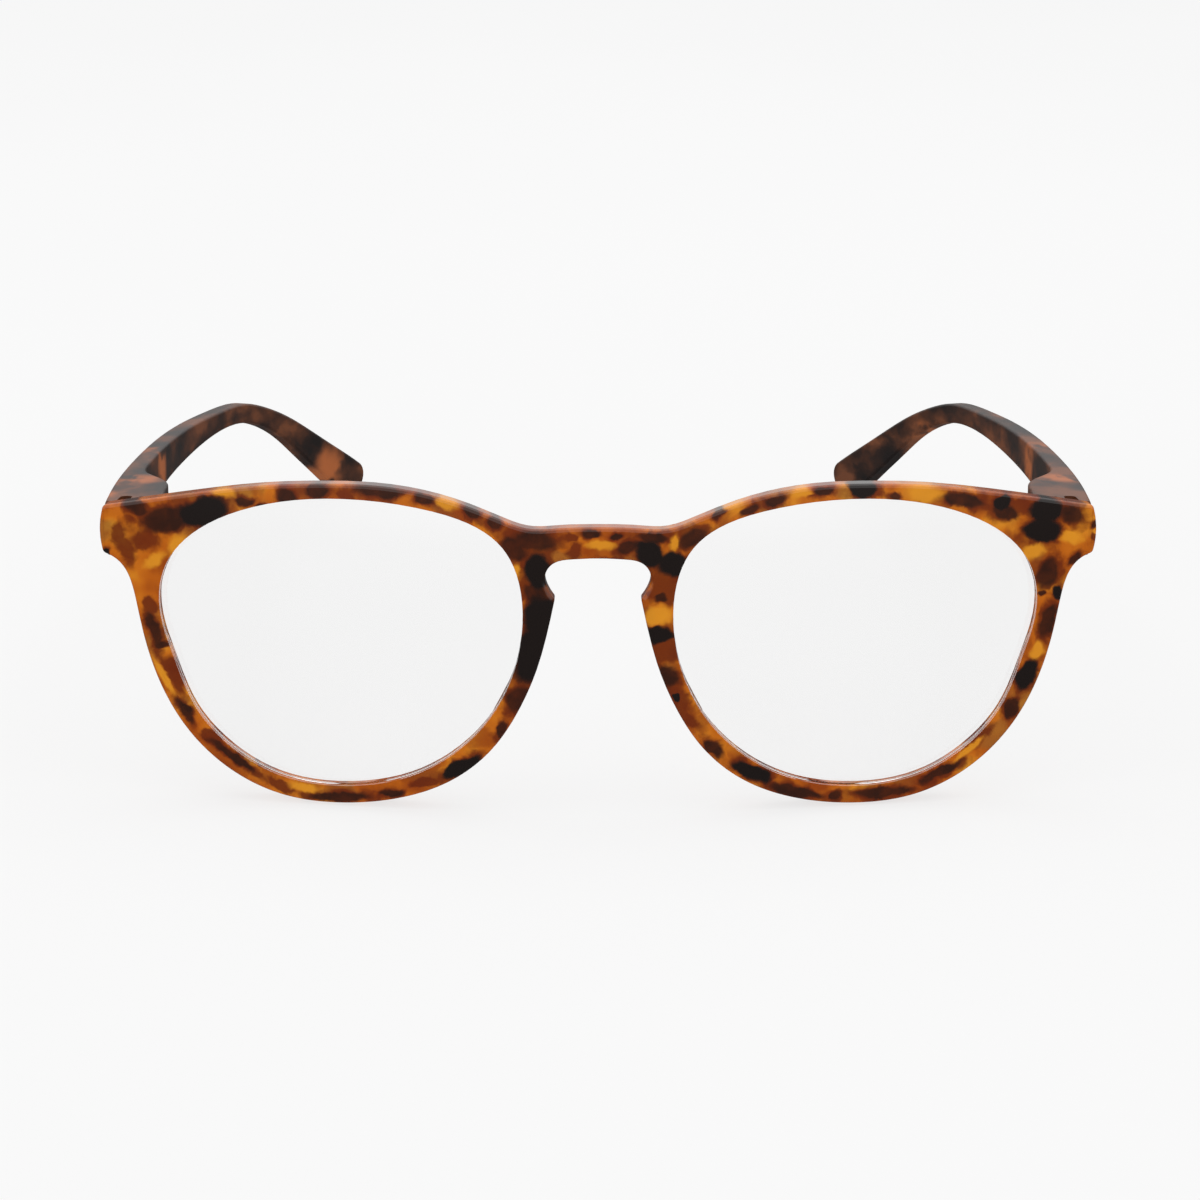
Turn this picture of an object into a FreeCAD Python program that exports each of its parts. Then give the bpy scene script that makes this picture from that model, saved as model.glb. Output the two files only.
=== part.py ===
"""Folding reading glasses: moulded front, two lenses, two temples on sprung hinges.

The pieces are drawn in the front's own frame: X to the wearer's left, Y is the depth behind the
bridge and Z the height above the lowest point of the rims, with the front upright. Everything
is then leaned back so that the rims and the temple tips stand on Z = 0, and moved so that the
origin is the bottom centre of the whole object. Lengths are in millimetres.
"""
import FreeCAD, Part
import math
import os

os.makedirs("parts", exist_ok=True)
Vector = FreeCAD.Vector

# ---------------------------------------------------------------- driving dimensions
FACE_RADIUS = 300.0          # the front is bent to this sphere
FACE_APEX = 24.0             # height of the sphere's apex
FRONT_THICKNESS = 3.4
EDGE_ROUND = 0.55            # rounding of the front's outer edges
CORNER_ROUND = 0.8           # rounding of the endpieces' corners

# upper edge of the front from the middle of the bridge to the endpiece (X, Z)
BROW = [(0.0, 40.2), (5.5, 40.05), (9.4, 39.95), (13.6, 41.3), (19.2, 43.45), (25.0, 44.95),
        (31.0, 45.7), (38.0, 45.8), (46.0, 45.4), (54.0, 44.4), (62.0, 43.1)]
END_TOP = (69.35, 41.85)
END_MIDDLE = (69.95, 38.2)
END_BOTTOM = (69.5, 35.1)
# outer edge of the rim from the endpiece round to the top of the nose pad
RIM_OUTER = [END_BOTTOM, (66.4, 32.9), (65.05, 28.8), (64.1, 23.9), (62.1, 17.2), (58.4, 10.4),
             (52.3, 4.45), (44.7, 0.9), (36.6, 0.0), (28.35, 0.9), (21.0, 3.55), (15.0, 8.3),
             (11.0, 14.3), (8.6, 19.8), (7.0, 25.4), (5.95, 30.2)]
# underside of the keyhole bridge from the top of the nose pad to the middle
KEYHOLE = [(5.95, 30.2), (7.0, 31.9), (7.25, 33.6), (6.3, 35.0), (3.6, 35.7), (0.0, 35.85)]
# half of the lens opening's edge, every 30 degrees round its centre
LENS_CENTRE = (35.55, 23.15)
LENS_OPENING = [(60.55, 23.1), (58.5, 36.6), (46.2, 42.75), (35.2, 43.8), (24.7, 42.7),
                (13.2, 37.4), (10.6, 24.6), (15.6, 12.4), (25.1, 4.9), (36.1, 2.65),
                (46.8, 4.6), (55.65, 11.65)]

# lenses
LENS_EDGE = 1.2              # thickness at the edge
LENS_DEPTH = 1.05            # depth of the lens's front edge behind the front's face
LENS_FRONT_RADIUS = 150.0
LENS_BACK_RADIUS = 277.0     # with the front radius: about +1.5 dioptres
LENS_REACH = 25.5            # distance of the edge from the lens's centre
LENS_GAP = 0.05              # clearance all round the lens
TONGUE = 0.9                 # how far the lens's tongue enters the groove
TONGUE_THICKNESS = 0.6

# nose pads, moulded on the back of the rims: depth, top end, bottom end (X, Z) and width
PAD_SECTIONS = [(2.4, (7.8, 29.4), (13.2, 13.8), 2.9),
                (5.0, (8.3, 28.4), (13.6, 14.6), 2.7),
                (7.2, (8.9, 26.6), (13.4, 16.4), 2.3)]
PAD_ROUND = 0.6

# hinge
PIN_X = 63.7
PIN_Y = 14.1
HINGE_Z = 37.95
HINGE_CANT = 6.0             # the pin's top leans towards the nose, so that a folded temple slopes down
BUTT_Y = 12.2                # flat on the back of the endpiece
BUTT_GAP = 0.15              # gap between that flat and the temple's end
LAND_DEPTH = 4.0             # the land that carries the flat
LAND_X = (60.8, 69.15)
LAND_Z = (35.3, 41.35)
PIN_RADIUS = 0.6
EYE_CLEARANCE = 0.04
KNUCKLE_RADIUS = 1.45
EYE_HALF = 0.75              # half the height of the middle knuckle
KNUCKLE_GAP = 0.05
KNUCKLE_TOP = 2.1
LEAF_THICKNESS = 0.9
LEAF_X = (61.7, 67.1)
LEAF_HALF_HEIGHT = 2.3
SCREW_SLOT = (0.24, 0.25)    # width and depth
HEAD_RADIUS = 1.05
HEAD_HEIGHT = 0.55

# sprung box in each temple, measured from the pin along the boss
BOX_TURN = 5.0               # turn of the box in plan, which follows the temple's outer face
BOX_FRONT = 2.05
BOX_LENGTH = 11.2
BOX_INNER = -1.25
BOX_OUTER = 1.8
BOX_HALF_HEIGHT = 1.5
CHANNEL_HALF = (1.0, 1.1)
SLIDER_PLAY = 0.05
SLIDER_LENGTH = 3.0
CHAMBER_RADIUS = 1.05
CHANNEL_LENGTH = 3.4
STOP_LENGTH = 1.0
GUIDE_RADIUS = 0.4
GUIDE_HEAD_RADIUS = 0.95
GUIDE_HEAD = 0.6
GUIDE_START = 4.05           # the guide pin's end in the slider, from the hinge pin
GUIDE_LENGTH = 11.9          # from the hinge pin to the underside of the guide pin's head
STOP_BORE = 0.5
SLIDER_START = 2.2
SPRING_WIRE = 0.15           # radius of the wire
SPRING_RADIUS = 0.78
SPRING_TURNS = 8
SPRING_GAP = 0.03

# temples: plan of the outer face (X, Y), line of the top edge, and the section along it
TEMPLE_OUTER = [(69.5, 10.8), (71.5, 32.0), (72.5, 56.0), (72.5, 76.0), (71.25, 94.0),
                (69.45, 106.0), (65.15, 122.0), (55.5, 138.0), (48.3, 149.0), (45.9, 152.2)]
TEMPLE_TOP = 41.78
TEMPLE_FALL = 0.011          # fall of the top edge per unit of depth
BEND_START = 114.0
BEND_RADIUS = 36.0
BEND_ANGLE = 34.0
# depth of a section's top outer corner, its width in plan and its height
TEMPLE_SECTIONS = [(11.0, 8.0, 7.5), (18.0, 8.0, 7.4), (24.0, 8.0, 7.25), (28.0, 7.8, 7.15),
                   (31.0, 7.0, 7.05), (34.5, 5.4, 6.95), (38.0, 3.9, 6.85), (41.5, 3.15, 6.75),
                   (46.0, 3.0, 6.65), (57.0, 3.0, 6.3), (70.0, 3.0, 5.7), (84.0, 3.0, 5.0),
                   (96.0, 3.0, 4.15), (106.0, 3.0, 3.5), (113.0, 3.0, 3.4), (119.0, 3.0, 3.5),
                   (125.0, 3.0, 3.55), (131.0, 3.0, 4.1), (137.0, 3.0, 5.3), (142.0, 3.0, 6.3),
                   (148.6, 3.0, 7.0)]
TIP_LENGTH = 3.2             # length of the rounded end
TIP_TURN = 86.0              # degrees of a quarter ellipse that the end follows
TIP_WIDTH = 0.4              # share of the width that is left at the very end
TIP_STEPS = 8
TEMPLE_ROUND = 0.45
ROUND_SHARE = 0.4            # a rounding takes no more than this share of a side
NOTCH_OUTER = 1.95           # outer wall of the hinge's notch, from the pin
NOTCH_WIDTH = 1.7            # small open slot in the top of the temple's end
NOTCH_LENGTH = 4.4
NOTCH_DEPTH = 1.2
NOTCH_X = 67.3
RELIEF_START = -1.5          # chamfer on the boss's inner front corner, from the pin
RELIEF = (1.0, 1.8)          # its width and its length along the boss

LEAN_GUESS = 7.8             # degrees, where the search for the resting lean starts
LEAN_ROUNDS = 5
REACH = 40.0                 # longer than any cut needs to be
SHORT_EDGE = 3.0             # the front's edges shorter than this are left sharp
TOLERANCE = 0.01


# ---------------------------------------------------------------- helpers
def spline(points, closed=False):
    curve = Part.BSplineCurve()
    curve.interpolate(Points=points, PeriodicFlag=closed)
    return curve


def upright(pairs):
    """Points of the front's own plane."""
    return [Vector(x, 0, z) for x, z in pairs]


def mirrored(shape):
    return shape.mirror(Vector(0, 0, 0), Vector(1, 0, 0))


def face_of(edges):
    return Part.Face(Part.Wire(Part.__sortEdges__(edges)))


def through(face, direction, start, length):
    """The face drawn out along a direction, from a point `start` along it."""
    moved = face.copy()
    moved.translate(direction * start)
    return moved.extrude(direction * length)


def block(low, high):
    return Part.makeBox(high[0] - low[0], high[1] - low[1], high[2] - low[2], Vector(*low))


def rod(radius, start, end):
    line = Vector(*end) - Vector(*start)
    return Part.makeCylinder(radius, line.Length, Vector(*start), line)


def face_sphere(depth):
    """Sphere concentric with the front's face, a given depth behind it."""
    return Part.makeSphere(FACE_RADIUS - depth, Vector(0, FACE_RADIUS, FACE_APEX))


def shell(near, far):
    return face_sphere(near).cut(face_sphere(far))


def rounded(shape, radius, chosen):
    edges = [edge for edge in shape.Edges if chosen(edge)]
    return shape.makeFillet(radius, edges)


# ---------------------------------------------------------------- front and lenses
def opening_curve(growth=0.0):
    """Edge of the left lens opening, moved outwards by `growth`."""
    curve = spline(upright(LENS_OPENING), closed=True)
    if not growth:
        return curve
    first, last = curve.FirstParameter, curve.LastParameter
    moved = []
    steps = 2 * len(LENS_OPENING)
    for step in range(steps):
        at = first + (last - first) * step / steps
        tangent = curve.tangent(at)[0]
        outward = Vector(tangent.z, 0, -tangent.x)
        moved.append(curve.value(at) + outward * growth)
    return spline(moved, closed=True)


def opening_prism(growth=0.0):
    face = Part.Face(Part.Wire(opening_curve(growth).toShape()))
    return through(face, Vector(0, 1, 0), -REACH / 2, REACH * 2)


def front_outline():
    right = upright(BROW)
    left = [Vector(-p.x, 0, p.z) for p in right[:0:-1]]
    corner = upright([END_TOP])
    brow = spline([Vector(-END_TOP[0], 0, END_TOP[1])] + left + right + corner)
    keyhole = upright(KEYHOLE)
    arch = spline(keyhole + [Vector(-p.x, 0, p.z) for p in keyhole[-2::-1]])
    half = [spline(upright([END_TOP, END_MIDDLE, END_BOTTOM])).toShape(),
            spline(upright(RIM_OUTER)).toShape()]
    return [brow.toShape(), arch.toShape()] + half + [mirrored(edge) for edge in half]


def nose_pad():
    """Pad of the left rim: a bar that narrows and turns outwards behind the rim."""
    sections = []
    for depth, top, bottom, width in PAD_SECTIONS:
        high, low = Vector(top[0], depth, top[1]), Vector(bottom[0], depth, bottom[1])
        along = (high - low).normalize()
        across = Vector(along.z, 0, -along.x) * (width / 2)
        cap = along * (width / 2)
        edges = [Part.LineSegment(low + across, high + across).toShape(),
                 Part.Arc(high + across, high + cap, high - across).toShape(),
                 Part.LineSegment(high - across, low - across).toShape(),
                 Part.Arc(low - across, low - cap, low + across).toShape()]
        sections.append(Part.Wire(edges))
    pad = Part.makeLoft(sections, True)
    return rounded(pad, PAD_ROUND, lambda edge: edge.BoundBox.YMin > PAD_SECTIONS[-1][0] - TOLERANCE)


def endpiece_land():
    """Flat land behind the endpiece, which the temple closes against."""
    return block((LAND_X[0], BUTT_Y - LAND_DEPTH, LAND_Z[0]), (LAND_X[1], BUTT_Y, LAND_Z[1]))


def leaf_plate():
    """Plate of the front's hinge leaf, let into the land and flush with it."""
    return block((LEAF_X[0], BUTT_Y - LEAF_THICKNESS, HINGE_Z - LEAF_HALF_HEIGHT),
                 (LEAF_X[1], BUTT_Y, HINGE_Z + LEAF_HALF_HEIGHT))


def front_frame():
    blank = through(face_of(front_outline()), Vector(0, 1, 0), -REACH / 2, REACH * 2)
    corner_edges = [edge for edge in blank.Edges
                    if edge.BoundBox.YLength > REACH and abs(edge.CenterOfMass.x) > END_TOP[0] - TOLERANCE]
    blank = blank.makeFillet(CORNER_ROUND, corner_edges)
    body = blank.common(shell(0.0, FRONT_THICKNESS))
    body = rounded(body, EDGE_ROUND, lambda edge: edge.Length > SHORT_EDGE)
    groove_near = LENS_DEPTH + (LENS_EDGE - TONGUE_THICKNESS) / 2 - LENS_GAP
    groove_far = groove_near + TONGUE_THICKNESS + 2 * LENS_GAP
    groove = opening_prism(TONGUE + LENS_GAP).common(shell(groove_near, groove_far))
    for side in (lambda shape: shape, mirrored):
        body = body.fuse(side(endpiece_land()))
        body = body.fuse(side(nose_pad()))
        body = body.cut(side(opening_prism()))
        body = body.cut(side(groove))
        body = body.cut(side(leaf_plate()))
    return body


def lens():
    """Left lens: two spheres on an axis square to the face, with a tongue round the edge."""
    centre = Vector(0, FACE_RADIUS, FACE_APEX)
    flat = Vector(LENS_CENTRE[0], 0, LENS_CENTRE[1])
    spread = math.hypot(flat.x, flat.z - FACE_APEX)
    flat.y = FACE_RADIUS - math.sqrt(FACE_RADIUS ** 2 - spread ** 2)
    axis = (flat - centre).normalize()
    balls = []
    for radius, depth in ((LENS_FRONT_RADIUS, LENS_DEPTH), (LENS_BACK_RADIUS, LENS_DEPTH + LENS_EDGE)):
        edge = math.sqrt((FACE_RADIUS - depth) ** 2 - LENS_REACH ** 2)
        offset = edge - math.sqrt(radius ** 2 - LENS_REACH ** 2)
        balls.append(Part.makeSphere(radius, centre + axis * offset))
    glass = opening_prism(-LENS_GAP).common(balls[0]).cut(balls[1])
    near = LENS_DEPTH + (LENS_EDGE - TONGUE_THICKNESS) / 2
    tongue = opening_prism(TONGUE).common(shell(near, near + TONGUE_THICKNESS))
    return glass.fuse(tongue).removeSplitter()


# ---------------------------------------------------------------- hinge
def hinge_point(x=0.0, y=0.0, z=0.0):
    return (PIN_X + x, PIN_Y + y, HINGE_Z + z)


def canted(shape):
    """The shape leaned towards the nose with the hinge pin."""
    shape.rotate(Vector(*hinge_point()), Vector(0, 1, 0), -HINGE_CANT)
    return shape


def turned(shape):
    """The shape turned about the pin into line with the temple's boss, and leaned with it."""
    shape.rotate(Vector(*hinge_point()), Vector(0, 0, 1), -BOX_TURN)
    return canted(shape)


def front_leaf():
    plate = leaf_plate()
    for low, high in ((-KNUCKLE_TOP, -EYE_HALF - KNUCKLE_GAP), (EYE_HALF + KNUCKLE_GAP, KNUCKLE_TOP)):
        knuckle = rod(KNUCKLE_RADIUS, hinge_point(z=low), hinge_point(z=high))
        neck = block((PIN_X - KNUCKLE_RADIUS, BUTT_Y, HINGE_Z + low),
                     (PIN_X + KNUCKLE_RADIUS, PIN_Y, HINGE_Z + high))
        plate = plate.fuse(canted(knuckle.fuse(neck)))
    return plate.removeSplitter().cut(hinge_screw(slotted=False))


def hinge_screw(slotted=True):
    screw = rod(PIN_RADIUS, hinge_point(z=-KNUCKLE_TOP), hinge_point(z=KNUCKLE_TOP))
    screw = screw.fuse(rod(HEAD_RADIUS, hinge_point(z=KNUCKLE_TOP - HEAD_HEIGHT),
                           hinge_point(z=KNUCKLE_TOP)))
    if slotted:
        width, depth = SCREW_SLOT
        slot = block(hinge_point(-HEAD_RADIUS, -width / 2, KNUCKLE_TOP - depth),
                     hinge_point(HEAD_RADIUS, width / 2, KNUCKLE_TOP))
        screw = screw.cut(slot)
    return canted(screw)


def slider_eye():
    wide, tall = (half - SLIDER_PLAY for half in CHANNEL_HALF)
    eye = rod(KNUCKLE_RADIUS, hinge_point(z=-EYE_HALF), hinge_point(z=EYE_HALF))
    neck = block(hinge_point(-wide, 0, -EYE_HALF), hinge_point(wide, SLIDER_START, EYE_HALF))
    carriage = block(hinge_point(-wide, SLIDER_START, -tall),
                     hinge_point(wide, SLIDER_START + SLIDER_LENGTH, tall))
    slider = eye.fuse(neck).fuse(carriage).removeSplitter()
    hole = rod(PIN_RADIUS + EYE_CLEARANCE, hinge_point(z=-REACH), hinge_point(z=REACH))
    return turned(slider.cut(hole)).cut(guide_pin())


def guide_pin():
    end = GUIDE_LENGTH + GUIDE_HEAD
    width, depth = SCREW_SLOT
    shank = rod(GUIDE_RADIUS, hinge_point(y=GUIDE_START), hinge_point(y=GUIDE_LENGTH))
    head = rod(GUIDE_HEAD_RADIUS, hinge_point(y=GUIDE_LENGTH), hinge_point(y=end))
    slot = block(hinge_point(-GUIDE_HEAD_RADIUS, end - depth, -width / 2),
                 hinge_point(GUIDE_HEAD_RADIUS, end, width / 2))
    return turned(shank.fuse(head).cut(slot))


def box_blank():
    return turned(block(hinge_point(BOX_INNER, BOX_FRONT, -BOX_HALF_HEIGHT),
                        hinge_point(BOX_OUTER, BOX_FRONT + BOX_LENGTH, BOX_HALF_HEIGHT)))


def spring_box():
    wide, tall = CHANNEL_HALF
    channel = block(hinge_point(-wide, 0, -tall), hinge_point(wide, BOX_FRONT + CHANNEL_LENGTH, tall))
    chamber = rod(CHAMBER_RADIUS, hinge_point(y=BOX_FRONT + CHANNEL_LENGTH),
                  hinge_point(y=BOX_FRONT + BOX_LENGTH))
    return box_blank().cut(turned(channel)).cut(turned(chamber))


def spring_stop():
    start = BOX_FRONT + CHANNEL_LENGTH
    bush = rod(CHAMBER_RADIUS, hinge_point(y=start), hinge_point(y=start + STOP_LENGTH))
    bore = rod(STOP_BORE, hinge_point(y=start), hinge_point(y=start + STOP_LENGTH))
    return turned(bush.cut(bore))


def flex_spring():
    start = BOX_FRONT + CHANNEL_LENGTH + STOP_LENGTH + SPRING_WIRE + SPRING_GAP
    height = GUIDE_LENGTH - start - SPRING_WIRE - SPRING_GAP
    helix = Part.makeHelix(height / SPRING_TURNS, height, SPRING_RADIUS)
    wire = Part.Wire(Part.makeCircle(SPRING_WIRE, Vector(SPRING_RADIUS, 0, 0), Vector(0, 1, 0)))
    coil = Part.Wire(helix).makePipeShell([wire], True, True)
    coil.rotate(Vector(0, 0, 0), Vector(1, 0, 0), -90)
    coil.translate(Vector(*hinge_point(y=start)))
    return turned(coil)


# ---------------------------------------------------------------- temple
def temple_top(depth):
    """Height and slope of the temple's top edge: straight, an arc, and straight again."""
    angle = math.radians(BEND_ANGLE)
    bend_end = BEND_START + BEND_RADIUS * math.sin(angle)
    height = TEMPLE_TOP - TEMPLE_FALL * (min(depth, BEND_START) - BUTT_Y)
    if depth <= BEND_START:
        return height, TEMPLE_FALL
    turn = math.asin((min(depth, bend_end) - BEND_START) / BEND_RADIUS)
    height -= BEND_RADIUS * (1 - math.cos(turn))
    return height - max(depth - bend_end, 0.0) * math.tan(angle), math.tan(turn)


def temple_frame(depth):
    """Top outer corner of a section, and its unit vectors inwards, downwards and along."""
    outer = spline([Vector(x, y, 0) for x, y in TEMPLE_OUTER])
    at = outer.intersect(Part.Line(Vector(0, depth, 0), Vector(1, depth, 0)))[0]
    point = Vector(at.X, at.Y, 0)
    tangent = outer.tangent(outer.parameter(point))[0]
    height, slope = temple_top(depth)
    along = (tangent + Vector(0, 0, -slope * tangent.y)).normalize()
    inward = Vector(-tangent.y, tangent.x, 0).normalize()
    down = inward.cross(along).normalize()
    return point + Vector(0, 0, height), inward, down * (-1 if down.z > 0 else 1), along


def rounded_section(corner, inward, down, width, height):
    """Closed wire of a rectangle with rounded corners, drawn from its top outer corner."""
    radius = min(TEMPLE_ROUND, ROUND_SHARE * width, ROUND_SHARE * height)
    bulge = radius * (1 - math.sqrt(0.5))

    def at(across, below):
        return corner + inward * across + down * below

    edges = []
    for run, rise, turn in ((1, 0, (0, 0)), (0, 1, (1, 0)), (-1, 0, (1, 1)), (0, -1, (0, 1))):
        x, y = turn[0] * width, turn[1] * height
        length = width if run else height
        start = at(x + run * radius, y + rise * radius)
        end_x, end_y = x + run * (length - radius), y + rise * (length - radius)
        end = at(end_x, end_y)
        edges.append(Part.LineSegment(start, end).toShape())
        next_run, next_rise = -rise, run
        corner_x, corner_y = x + run * length, y + rise * length
        middle = at(corner_x + bulge * (next_run - run), corner_y + bulge * (next_rise - rise))
        finish = at(corner_x + next_run * radius, corner_y + next_rise * radius)
        edges.append(Part.Arc(end, middle, finish).toShape())
    return Part.Wire(edges)


def fold_relief():
    """Wedge off the boss's inner front corner, which clears the front when the temple folds."""
    width, length = RELIEF
    far = RELIEF_START - 2 * width
    plan = [(RELIEF_START, BOX_FRONT), (far, BOX_FRONT), (far, BOX_FRONT + 2 * length),
            (RELIEF_START, BOX_FRONT)]
    outline = Part.makePolygon([Vector(*hinge_point(x, y, -HINGE_Z)) for x, y in plan])
    return turned(through(Part.Face(outline), Vector(0, 0, 1), 0.0, REACH * 2))


def temple():
    wires = []
    for depth, width, height in TEMPLE_SECTIONS:
        corner, inward, down, along = temple_frame(depth)
        wires.append(rounded_section(corner, inward, down, width, height))
    for step in range(1, TIP_STEPS + 1):
        turn = math.radians(TIP_TURN) * step / TIP_STEPS
        tall = height * math.cos(turn)
        wide = width * (TIP_WIDTH + (1 - TIP_WIDTH) * math.cos(turn))
        start = corner + along * (TIP_LENGTH * math.sin(turn))
        start += inward * ((width - wide) / 2) + down * ((height - tall) / 2)
        wires.append(rounded_section(start, inward, down, wide, tall))
    arm = Part.makeLoft(wires, True)
    before = block((0, 0, 0), (REACH * 2, BUTT_Y + BUTT_GAP, REACH * 2))
    hinge_notch = turned(block((PIN_X - REACH / 4, 0, 0), hinge_point(NOTCH_OUTER, BOX_FRONT, REACH)))
    slot_end = (NOTCH_X, BUTT_Y + NOTCH_LENGTH - NOTCH_WIDTH / 2, TEMPLE_TOP - NOTCH_DEPTH)
    slot = block((NOTCH_X - NOTCH_WIDTH / 2, 0, slot_end[2]),
                 (NOTCH_X + NOTCH_WIDTH / 2, slot_end[1], REACH * 2))
    slot = slot.fuse(rod(NOTCH_WIDTH / 2, slot_end, (slot_end[0], slot_end[1], REACH * 2)))
    return arm.cut(before).cut(hinge_notch).cut(fold_relief()).cut(box_blank()).cut(slot)


# ---------------------------------------------------------------- assembly
def lean_angle(shapes):
    """Angle that brings the rims and the temple tips down to one level."""
    angle = LEAN_GUESS
    for _ in range(LEAN_ROUNDS):
        lows = []
        for shape in shapes:
            leaned = shape.copy()
            leaned.rotate(Vector(0, 0, 0), Vector(1, 0, 0), -angle)
            lows.append(leaned.optimalBoundingBox(False, False).ZMin)
        angle += math.degrees((lows[1] - lows[0]) / TEMPLE_SECTIONS[-1][0])
    return angle


def build():
    pieces = {"front_frame": front_frame()}
    left = {"lens": lens(), "front_leaf": front_leaf(), "hinge_screw": hinge_screw(),
            "slider_eye": slider_eye(), "guide_pin": guide_pin(), "flex_spring": flex_spring(),
            "spring_box": spring_box(), "spring_stop": spring_stop(), "temple": temple()}
    for name, shape in left.items():
        pieces[name + "_left"] = shape
        pieces[name + "_right"] = mirrored(shape)
    angle = lean_angle([pieces["front_frame"], pieces["temple_left"]])
    for shape in pieces.values():
        shape.rotate(Vector(0, 0, 0), Vector(1, 0, 0), -angle)
    box = Part.makeCompound(list(pieces.values())).optimalBoundingBox(True, False)
    shift = Vector(-box.Center.x, -box.Center.y, -box.ZMin)
    for name, shape in pieces.items():
        shape.translate(shift)
        shape.exportStep("parts/" + name + ".step")
    return pieces, angle, shift


pieces, angle, shift = build()
for name, shape in pieces.items():
    print(name, len(shape.Solids), shape.isValid(), round(shape.Volume, 2))
print("lean", round(angle, 4), "shift", tuple(round(value, 4) for value in shift))
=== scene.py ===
"""Look of the folding reading glasses: tortoiseshell plastic, clear lenses, small steel hinges."""
import bpy
import math
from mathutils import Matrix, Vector


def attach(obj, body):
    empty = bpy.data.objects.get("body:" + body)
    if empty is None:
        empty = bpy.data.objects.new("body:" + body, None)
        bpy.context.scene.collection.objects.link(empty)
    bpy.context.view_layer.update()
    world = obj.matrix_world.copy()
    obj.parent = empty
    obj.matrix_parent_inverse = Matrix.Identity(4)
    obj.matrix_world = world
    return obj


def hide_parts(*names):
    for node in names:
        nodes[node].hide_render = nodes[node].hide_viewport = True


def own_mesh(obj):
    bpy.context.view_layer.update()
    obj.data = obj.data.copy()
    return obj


MM = 0.001
LEAN = math.radians(7.3928)          # the front's lean back from upright
FRONT_ORIGIN = (0.0, -76.5325, 0.7959)   # zero of the front's own frame, mm
PATCH_DEPTH = 1000.0                 # half depth of a patch, mm, which goes right through the front
BROWN, DARK, BLACK = range(3)        # how dark a patch of the front is

# finishes
PLASTIC_IOR = 1.49
FRONT_ROUGHNESS = 0.08
TEMPLE_ROUGHNESS = 0.42
LENS_SPECULAR = 0.25
LENS_SHADOW = 0.95                   # share of light that a lens lets through to what lies behind it
FLOOR_GLOW = 0.8                     # share of the floor's brightness that is its own
WORLD_STRENGTH = 0.8
WORLD_SEEN = 1.15                    # grey of the world behind the floor and through the lenses

# camera, metres
CAMERA_PLACE = (0.00028, -0.40971, 0.15307)
CAMERA_DOWN = 19.950                 # degrees below the level
CAMERA_LENS = 78.12                  # mm, on a 36 mm sensor
SENSOR_WIDTH = 36.0

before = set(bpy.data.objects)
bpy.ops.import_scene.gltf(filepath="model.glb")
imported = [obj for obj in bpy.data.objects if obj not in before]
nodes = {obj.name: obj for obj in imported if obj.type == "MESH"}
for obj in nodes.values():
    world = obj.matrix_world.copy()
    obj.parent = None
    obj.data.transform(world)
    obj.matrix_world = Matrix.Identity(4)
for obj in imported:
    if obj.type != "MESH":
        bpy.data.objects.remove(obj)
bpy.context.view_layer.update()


# ---------------------------------------------------------------- node helpers
def node(tree, kind, inputs=None, **settings):
    made = tree.nodes.new("ShaderNode" + kind)
    for key, value in settings.items():
        setattr(made, key, value)
    for key, value in (inputs or {}).items():
        if isinstance(value, bpy.types.NodeSocket):
            tree.links.new(value, made.inputs[key])
        else:
            made.inputs[key].default_value = value
    return made


def maths(tree, operation, *values, clamp=False):
    made = node(tree, "Math", dict(enumerate(values)), operation=operation, use_clamp=clamp)
    return made.outputs[0]


def vector_maths(tree, operation, *values):
    made = node(tree, "VectorMath", dict(enumerate(values)), operation=operation)
    return made.outputs["Value" if operation == "LENGTH" else "Vector"]


def ramp(tree, factor, stops, smooth=False):
    made = node(tree, "ValToRGB", {0: factor})
    elements = made.color_ramp.elements
    while len(elements) < len(stops):
        elements.new(0.5)
    for element, (position, colour) in zip(elements, stops):
        element.position = position
        element.color = (*colour, 1.0)
    if smooth:
        made.color_ramp.interpolation = "EASE"
    return made.outputs[0]


def blend(tree, factor, first, second):
    made = node(tree, "Mix", {0: factor, 6: first, 7: second}, data_type="RGBA")
    return made.outputs[2]


def step(tree, value, low, high):
    made = node(tree, "MapRange", {0: value, 1: low, 2: high, 3: 0.0, 4: 1.0},
                interpolation_type="SMOOTHSTEP")
    return made.outputs[0]


def srgb(r, g, b):
    """Linear colour of an 8-bit sRGB one."""
    return tuple(v / 12.92 if v <= 0.04045 else ((v + 0.055) / 1.055) ** 2.4
                 for v in (r / 255, g / 255, b / 255))


def material(name):
    made = bpy.data.materials.new(name)
    made.use_nodes = True
    tree = made.node_tree
    tree.nodes.clear()
    return made, tree, node(tree, "OutputMaterial")


def front_coordinates(tree):
    """Millimetres in the front's own frame: X, depth, height above the rims."""
    place = node(tree, "TexCoord").outputs["Object"]
    scaled = vector_maths(tree, "MULTIPLY", place, (1 / MM, 1 / MM, 1 / MM))
    moved = vector_maths(tree, "SUBTRACT", scaled, FRONT_ORIGIN)
    return node(tree, "Mapping", {0: moved, "Rotation": (LEAN, 0, 0)}).outputs[0]


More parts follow.
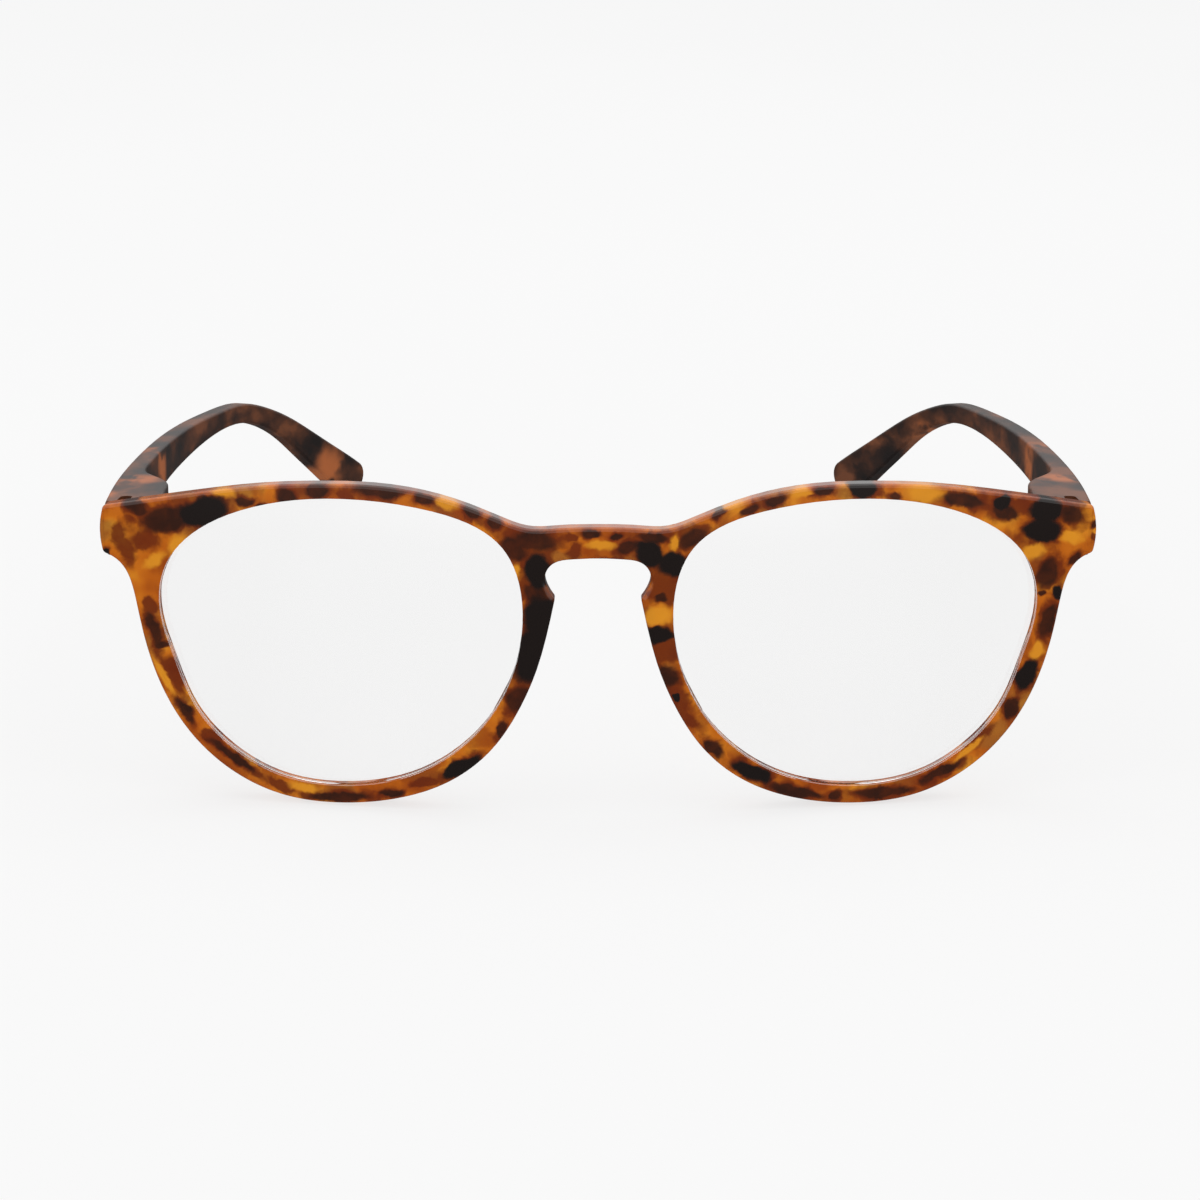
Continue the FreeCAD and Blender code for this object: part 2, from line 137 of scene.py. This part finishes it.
# ---------------------------------------------------------------- tortoiseshell
# patches of the front, mm: centre (X, height), half length, half width, turn in degrees, darkness
PATCHES = [
    # outer top corner over the wearer's right lens
    (-54.8, 41.4, 3.5, 1.8, 18, BLACK), (-60.2, 40.2, 3.8, 1.7, 12, DARK),
    (-64.4, 41.6, 1.8, 0.9, -12, DARK), (-63.0, 37.6, 2.0, 1.2, 20, BROWN),
    (-68.9, 35.1, 0.55, 0.6, 0, BLACK), (-66.0, 35.4, 1.0, 1.6, 20, BROWN),
    (-67.2, 38.2, 0.9, 1.2, 0, BROWN), (-48.9, 43.2, 1.3, 0.6, 0, DARK), (-46.4, 42.5, 0.7, 0.35, 0, DARK),
    (-43.0, 44.0, 1.2, 1.1, 0, DARK), (-38.8, 44.9, 2.0, 0.9, 0, DARK), (-34.9, 44.2, 0.8, 0.6, 0, BROWN),
    (-30.0, 44.9, 3.6, 0.9, -2, DARK), (-23.8, 43.9, 1.5, 0.7, -16, DARK),
    (-17.1, 42.0, 1.3, 0.9, -30, DARK), (-14.2, 40.9, 0.8, 1.0, 0, DARK),
    # outer side and bottom of the wearer's right lens
    (-63.0, 27.9, 1.0, 0.9, 0, BROWN), (-62.6, 24.5, 2.6, 0.85, -68, DARK),
    (-61.3, 22.4, 0.9, 0.5, 0, DARK), (-59.5, 17.9, 2.8, 0.75, -65, BROWN),
    (-58.4, 13.0, 2.2, 0.75, -55, DARK), (-54.8, 9.6, 1.2, 0.6, -40, BROWN),
    (-51.8, 6.4, 4.4, 0.6, -37, DARK), (-49.6, 6.9, 3.0, 0.45, -34, DARK),
    (-44.8, 2.5, 1.6, 0.6, -20, BROWN), (-36.6, 1.2, 4.6, 0.75, 2, DARK), (-29.0, 1.9, 1.8, 0.6, 6, DARK),
    (-24.6, 3.3, 1.6, 0.5, 18, BROWN), (-18.9, 5.8, 3.1, 1.1, 27, BLACK),
    # nose side of the wearer's right lens
    (-13.5, 11.6, 1.3, 0.8, 60, DARK), (-10.9, 15.9, 2.0, 1.6, 62, DARK),
    (-8.9, 22.6, 4.4, 2.4, 74, BLACK), (-7.6, 27.6, 3.0, 2.4, 86, BLACK), (-8.8, 31.0, 1.8, 1.6, 0, DARK),
    (-8.3, 34.1, 1.9, 2.4, 0, BLACK), (-8.6, 38.4, 3.3, 1.5, -6, DARK), (-11.6, 37.4, 2.2, 1.4, -38, DARK),
    # bridge
    (-3.6, 36.8, 1.0, 0.9, 20, BROWN), (-0.9, 39.2, 1.4, 0.6, 0, DARK), (-3.8, 38.9, 0.7, 0.4, 0, BROWN),
    (2.6, 39.0, 0.9, 0.5, 0, DARK), (4.2, 37.3, 1.6, 0.8, 14, DARK), (1.9, 35.6, 1.2, 0.4, 20, BROWN),
    # nose side of the wearer's left lens
    (7.0, 36.4, 2.0, 2.0, 0, BLACK), (10.3, 35.1, 2.1, 1.9, 0, BLACK), (7.6, 38.9, 2.0, 0.8, 0, DARK),
    (13.0, 38.8, 2.0, 1.3, 30, DARK), (9.2, 31.4, 1.5, 1.6, 0, BROWN), (8.8, 30.5, 0.8, 0.8, 0, DARK),
    (8.7, 25.2, 2.1, 1.2, 0, BLACK), (9.5, 22.8, 1.6, 1.5, 0, BROWN), (9.7, 19.3, 1.8, 1.5, -60, DARK),
    (11.0, 15.8, 2.4, 1.1, -60, BROWN), (11.1, 16.2, 0.6, 0.6, 0, BLACK),
    (12.8, 13.0, 1.2, 0.9, -55, BROWN),
    # bottom and outer side of the wearer's left lens
    (16.3, 8.7, 1.9, 0.9, -40, DARK), (21.5, 5.2, 3.2, 1.1, -30, BLACK), (27.8, 2.1, 4.0, 0.9, -12, DARK),
    (33.3, 1.2, 0.9, 0.7, 0, DARK), (40.6, 1.5, 4.2, 0.8, 3, DARK), (48.4, 4.2, 3.6, 0.8, 26, DARK),
    (54.0, 9.0, 2.0, 0.6, 44, BROWN), (58.5, 13.4, 1.5, 0.9, 55, DARK), (60.6, 18.1, 2.4, 1.3, 66, BLACK),
    (63.3, 25.4, 2.6, 1.1, 78, DARK), (64.7, 29.5, 0.8, 1.2, 0, BLACK), (62.4, 29.8, 0.6, 0.5, 0, DARK),
    (63.0, 32.5, 1.6, 2.1, -12, DARK), (66.9, 34.3, 1.1, 0.7, 36, DARK),
    # outer top corner over the wearer's left lens
    (69.4, 39.2, 0.55, 0.65, 0, DARK), (69.8, 37.3, 0.4, 0.5, 0, BROWN), (66.2, 40.8, 1.8, 1.3, -20, DARK),
    (62.4, 41.5, 2.3, 1.6, 0, BLACK), (62.1, 38.7, 2.7, 1.8, 0, BLACK), (59.2, 42.2, 1.7, 0.9, 0, BROWN),
    (56.1, 42.7, 1.3, 0.9, 0, BLACK), (56.7, 41.3, 2.2, 1.0, -14, DARK), (50.5, 43.2, 3.2, 0.9, -10, DARK),
    (45.2, 42.9, 0.5, 0.4, 0, BROWN), (40.9, 44.1, 0.8, 0.5, 0, DARK), (36.4, 45.1, 1.9, 1.2, 0, BLACK),
    (31.0, 44.9, 1.5, 0.7, 6, DARK), (24.2, 43.8, 1.6, 0.7, 14, DARK), (20.6, 42.5, 1.4, 0.6, 22, DARK),
    (16.5, 42.0, 0.9, 0.7, 40, DARK),
]
# light windows of the front: the same, without the darkness
WINDOWS = [
    (45.2, 44.3, 2.6, 1.4, -5), (-58.6, 36.6, 1.8, 1.3, 60), (-62.0, 34.4, 1.8, 1.0, 35),
    (-61.2, 17.8, 2.8, 0.6, -62), (-56.6, 14.2, 2.4, 0.5, -55), (-41.6, 2.3, 2.0, 0.6, -10),
    (17.8, 43.4, 2.2, 0.7, 24), (28.0, 44.8, 1.4, 0.7, 8), (8.3, 27.8, 1.7, 1.3, 0),
    (60.6, 35.6, 2.0, 0.9, 14), (66.4, 37.4, 1.6, 0.9, -10), (61.8, 21.4, 1.2, 0.8, 60),
    (52.4, 7.4, 2.6, 0.5, 36), (0.4, 37.6, 2.0, 0.7, 0), (-20.6, 43.2, 1.6, 0.7, -20),
    (10.5, 38.3, 0.8, 1.2, 0), (-11.4, 34.0, 0.6, 1.3, 0), (-52.0, 44.0, 1.6, 0.7, -8),
]


# colours of the shell
TAN = srgb(140, 92, 40)
HAZE = srgb(140, 58, 12)
LIGHT_AMBER = srgb(228, 150, 36)
RED_BROWN = srgb(106, 38, 11)
DEEP_BROWN = srgb(52, 25, 15)
NEAR_BLACK = srgb(27, 20, 18)
TEMPLE_AMBER = srgb(178, 96, 42)

UNION_SOFTNESS = 0.35        # how far neighbouring patches flow together


def patches_from(least):
    """Shapes of the patches that are at least so dark."""
    return [patch[:5] for patch in PATCHES if patch[5] >= least]


def patch_field(tree, place, patches):
    """1 in the middle of a patch, 0 on its edge, negative outside."""
    field = None
    for x, height, long, wide, turn in patches:
        offset = vector_maths(tree, "SUBTRACT", place, (x, 0.0, height))
        aligned = node(tree, "Mapping", {0: offset, "Rotation": (0, math.radians(turn), 0)}).outputs[0]
        unit = vector_maths(tree, "DIVIDE", aligned, (long, PATCH_DEPTH, wide))
        inside = maths(tree, "SUBTRACT", 1.0, vector_maths(tree, "LENGTH", unit))
        field = inside if field is None else maths(tree, "SMOOTH_MAX", field, inside, UNION_SOFTNESS)
    return field


def noise(tree, place, scale, detail=2.0, seed=0.0, output=0):
    moved = vector_maths(tree, "ADD", place, (seed * 17.3, seed * 5.1, seed * 11.7))
    return node(tree, "TexNoise", {"Vector": moved, "Scale": scale, "Detail": detail}).outputs[output]


def warped(tree, place, scale, amount, seed):
    """The place pushed about by noise, so that a patch has a ragged edge."""
    push = vector_maths(tree, "SUBTRACT", noise(tree, place, scale, 2.0, seed, 1), (0.5, 0.5, 0.5))
    return vector_maths(tree, "MULTIPLY_ADD", push, (amount, amount * 0.3, amount), place)


def tortoise(tree, place):
    """Colour of the front: honey ground, tan clouds, red-brown edges and near-black patches."""
    flat = vector_maths(tree, "MULTIPLY", place, (1.0, 0.35, 1.0))
    soft = warped(tree, flat, 0.26, 1.2, 1.0)
    rough = warped(tree, warped(tree, soft, 0.42, 1.5, 2.0), 1.5, 0.4, 15.0)
    ground = ramp(tree, noise(tree, soft, 0.17, 2.0, 3.0),
                  [(0.32, srgb(154, 68, 13)), (0.44, srgb(188, 95, 16)), (0.56, srgb(204, 112, 22)),
                   (0.70, srgb(224, 144, 36))])
    clouds = step(tree, noise(tree, soft, 0.20, 1.0, 4.0), 0.54, 0.66)
    ground = blend(tree, maths(tree, "MULTIPLY", clouds, 0.6), ground, (*TAN, 1.0))
    haze = step(tree, noise(tree, rough, 0.24, 3.0, 8.0), 0.44, 0.62)
    ground = blend(tree, maths(tree, "MULTIPLY", haze, 0.65), ground, (*HAZE, 1.0))
    light = step(tree, patch_field(tree, rough, WINDOWS), -0.4, 0.4)
    ground = blend(tree, maths(tree, "MULTIPLY", light, 0.85), ground, (*LIGHT_AMBER, 1.0))
    rim = maths(tree, "MULTIPLY_ADD", noise(tree, rough, 0.40, 3.0, 14.0), 2.4, -1.2)
    brown = maths(tree, "ADD", patch_field(tree, rough, patches_from(BROWN)), rim)
    brown = maths(tree, "MULTIPLY", step(tree, brown, -0.85, 0.05), maths(tree, "SUBTRACT", 1.0, light))
    dark = step(tree, patch_field(tree, rough, patches_from(DARK)), -0.2, 0.3)
    black = step(tree, patch_field(tree, rough, patches_from(BLACK)), -0.2, 0.2)
    depth = maths(tree, "MULTIPLY_ADD", noise(tree, rough, 0.5, 2.0, 16.0), 0.7, 0.55, clamp=True)
    shell = blend(tree, maths(tree, "MULTIPLY", brown, 0.9), ground, (*RED_BROWN, 1.0))
    shell = blend(tree, maths(tree, "MULTIPLY", dark, depth), shell, (*DEEP_BROWN, 1.0))
    return blend(tree, black, shell, (*NEAR_BLACK, 1.0))


# amber windows of the temples: X, depth, height and radius
TEMPLE_WINDOWS = [(-52.5, 140.0, 25.0, 5.0), (-69.0, 31.0, 41.5, 5.5), (-71.0, 18.0, 40.0, 4.0),
                  (-70.5, 60.0, 38.0, 5.0), (69.5, 33.0, 41.5, 5.0), (70.5, 66.0, 38.0, 5.0),
                  (62.0, 127.0, 33.0, 4.5), (71.0, 17.0, 38.0, 4.0)]


def window_field(tree, place, windows):
    """1 in the middle of a round window, 0 on its edge, negative outside."""
    field = None
    for x, depth, height, radius in windows:
        away = vector_maths(tree, "LENGTH", vector_maths(tree, "SUBTRACT", place, (x, depth, height)))
        inside = maths(tree, "SUBTRACT", 1.0, maths(tree, "DIVIDE", away, radius))
        field = inside if field is None else maths(tree, "MAXIMUM", field, inside)
    return field


def dark_tortoise(tree, place):
    """Colour of the temples: near-black and brown, with a few amber windows."""
    soft = warped(tree, place, 0.25, 3.0, 9.0)
    along = vector_maths(tree, "MULTIPLY", soft, (1.0, 0.4, 1.0))
    ground = ramp(tree, noise(tree, along, 0.16, 3.0, 10.0),
                  [(0.38, srgb(22, 15, 14)), (0.48, srgb(42, 24, 17)), (0.57, srgb(74, 40, 22)),
                   (0.66, srgb(108, 60, 32))])
    windows = step(tree, window_field(tree, soft, TEMPLE_WINDOWS), -0.1, 0.6)
    patchy = step(tree, noise(tree, along, 0.26, 2.0, 12.0), 0.36, 0.54)
    windows = maths(tree, "MULTIPLY", windows, patchy)
    return blend(tree, maths(tree, "MULTIPLY", windows, 0.85), ground, (*TEMPLE_AMBER, 1.0))


def shell_material(name, colouring, roughness):
    made, tree, output = material(name)
    colour = colouring(tree, front_coordinates(tree))
    surface = node(tree, "BsdfPrincipled", {
        "Base Color": colour, "Roughness": roughness, "IOR": PLASTIC_IOR})
    tree.links.new(surface.outputs[0], output.inputs[0])
    return made


def lens_material():
    made, tree, output = material("lens")
    place = front_coordinates(tree)
    haze = ramp(tree, noise(tree, place, 0.05, 1.0, 6.0),
                [(0.3, (0.985, 0.985, 0.985)), (0.7, (0.99, 0.99, 0.99))])
    glass = node(tree, "BsdfPrincipled", {
        "Base Color": haze, "Roughness": 0.0, "IOR": PLASTIC_IOR, "Transmission Weight": 1.0,
        "Specular IOR Level": LENS_SPECULAR})
    clear = node(tree, "BsdfTransparent", {0: (*[LENS_SHADOW] * 3, 1.0)})
    path = node(tree, "LightPath")
    both = maths(tree, "MAXIMUM", path.outputs["Is Shadow Ray"], path.outputs["Is Diffuse Ray"])
    mixed = node(tree, "MixShader", {0: both, 1: glass.outputs[0], 2: clear.outputs[0]})
    tree.links.new(mixed.outputs[0], output.inputs[0])
    return made


def metal_material(name, colour, roughness, grain):
    made, tree, output = material(name)
    place = front_coordinates(tree)
    streaks = noise(tree, vector_maths(tree, "MULTIPLY", place, grain), 2.0, 3.0, 7.0)
    tone = ramp(tree, streaks, [(0.3, tuple(0.88 * c for c in colour)), (0.7, colour)])
    rough = node(tree, "MapRange", {0: streaks, 1: 0.3, 2: 0.7, 3: roughness * 0.8, 4: roughness * 1.2})
    surface = node(tree, "BsdfPrincipled", {
        "Base Color": tone, "Metallic": 1.0, "Roughness": rough.outputs[0]})
    tree.links.new(surface.outputs[0], output.inputs[0])
    return made


# ---------------------------------------------------------------- finishes on the CAD nodes
front_shell = shell_material("front_shell", tortoise, FRONT_ROUGHNESS)
temple_shell = shell_material("temple_shell", dark_tortoise, TEMPLE_ROUGHNESS)
lens_clear = lens_material()
hinge_metal = metal_material("hinge_metal", srgb(176, 176, 174), 0.32, (1.0, 1.0, 8.0))
slider_metal = metal_material("slider_metal", srgb(160, 160, 158), 0.3, (1.0, 1.0, 8.0))
screw_steel = metal_material("screw_steel", srgb(200, 200, 200), 0.2, (6.0, 6.0, 1.0))
spring_wire = metal_material("spring_wire", srgb(186, 188, 192), 0.18, (4.0, 4.0, 4.0))
stop_brass = metal_material("stop_brass", srgb(214, 180, 110), 0.25, (6.0, 1.0, 6.0))
FINISHES = {"front_frame": front_shell, "temple": temple_shell, "lens": lens_clear,
            "front_leaf": hinge_metal, "spring_box": hinge_metal, "slider_eye": slider_metal,
            "hinge_screw": screw_steel, "guide_pin": screw_steel, "flex_spring": spring_wire,
            "spring_stop": stop_brass}
for name, piece in nodes.items():
    kind = name.replace("_left", "").replace("_right", "")
    piece.data.materials.clear()
    piece.data.materials.append(FINISHES[kind])

# ---------------------------------------------------------------- coils: each spring copied into a mesh of its own and hung on its arm, the solid one hidden (the real coil shortens as a temple flexes)
for side in ("left", "right"):
    solid_coil = nodes["flex_spring_" + side]
    coil = bpy.data.objects.new("coil_" + side, solid_coil.data.copy())
    bpy.context.scene.collection.objects.link(coil)
    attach(coil, "arm_" + side)
    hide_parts(solid_coil.name)
    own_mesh(coil)

# ---------------------------------------------------------------- floor, light and camera
bpy.ops.mesh.primitive_plane_add(size=12.0, location=(0, 0, 0))
floor = bpy.context.object
floor.name = "floor"
floor_paint, tree, output = material("floor_paint")
grain = noise(tree, node(tree, "TexCoord").outputs["Object"], 3.0, 1.0)
tone = ramp(tree, grain, [(0.3, srgb(244, 244, 244)), (0.7, srgb(245, 245, 245))])
paint = node(tree, "BsdfDiffuse", {0: tone})
glow = node(tree, "Emission", {0: tone, 1: 1.0})
mixed = node(tree, "MixShader", {0: FLOOR_GLOW, 1: paint.outputs[0], 2: glow.outputs[0]})
tree.links.new(mixed.outputs[0], output.inputs[0])
floor.data.materials.append(floor_paint)
floor.visible_glossy = False

world = bpy.data.worlds.new("studio")
bpy.context.scene.world = world
world.use_nodes = True
sky = world.node_tree
up = node(sky, "SeparateXYZ", {0: node(sky, "TexCoord").outputs["Generated"]}).outputs[2]
glow = ramp(sky, maths(sky, "MULTIPLY_ADD", up, 0.5, 0.5),
            [(0.50, (0.14, 0.14, 0.14)), (0.55, (0.30, 0.30, 0.30)), (0.60, (1.05, 1.05, 1.05)),
             (0.70, (1.25, 1.25, 1.25)), (1.0, (1.25, 1.25, 1.25))], smooth=True)
rays = node(sky, "LightPath")
seen = maths(sky, "MAXIMUM", rays.outputs["Is Camera Ray"], rays.outputs["Is Transmission Ray"])
glow = blend(sky, seen, glow, (*[WORLD_SEEN] * 3, 1.0))
sky.links.new(glow, sky.nodes["Background"].inputs[0])
sky.nodes["Background"].inputs[1].default_value = WORLD_STRENGTH


def area_light(name, place, target, size, power):
    lamp = bpy.data.lights.new(name, "AREA")
    lamp.shape = "RECTANGLE"
    lamp.size, lamp.size_y = size
    lamp.energy = power
    made = bpy.data.objects.new(name, lamp)
    made.location = place
    made.rotation_euler = (Vector(target) - Vector(place)).to_track_quat("-Z", "Y").to_euler()
    bpy.context.scene.collection.objects.link(made)
    return made


area_light("overhead", (0.0, 0.15, 0.9), (0, 0, 0), (1.2, 0.8), 3.0)
area_light("back_strip", (0.0, 1.3, 0.115), (0, 0, 0), (2.4, 0.11), 0.5)

camera_data = bpy.data.cameras.new("camera")
camera_data.sensor_width = SENSOR_WIDTH
camera_data.lens = CAMERA_LENS
camera = bpy.data.objects.new("camera", camera_data)
camera.location = CAMERA_PLACE
camera.rotation_euler = (math.radians(90.0 - CAMERA_DOWN), 0, 0)
bpy.context.scene.collection.objects.link(camera)
bpy.context.scene.camera = camera
bpy.context.scene.view_settings.view_transform = "Standard"
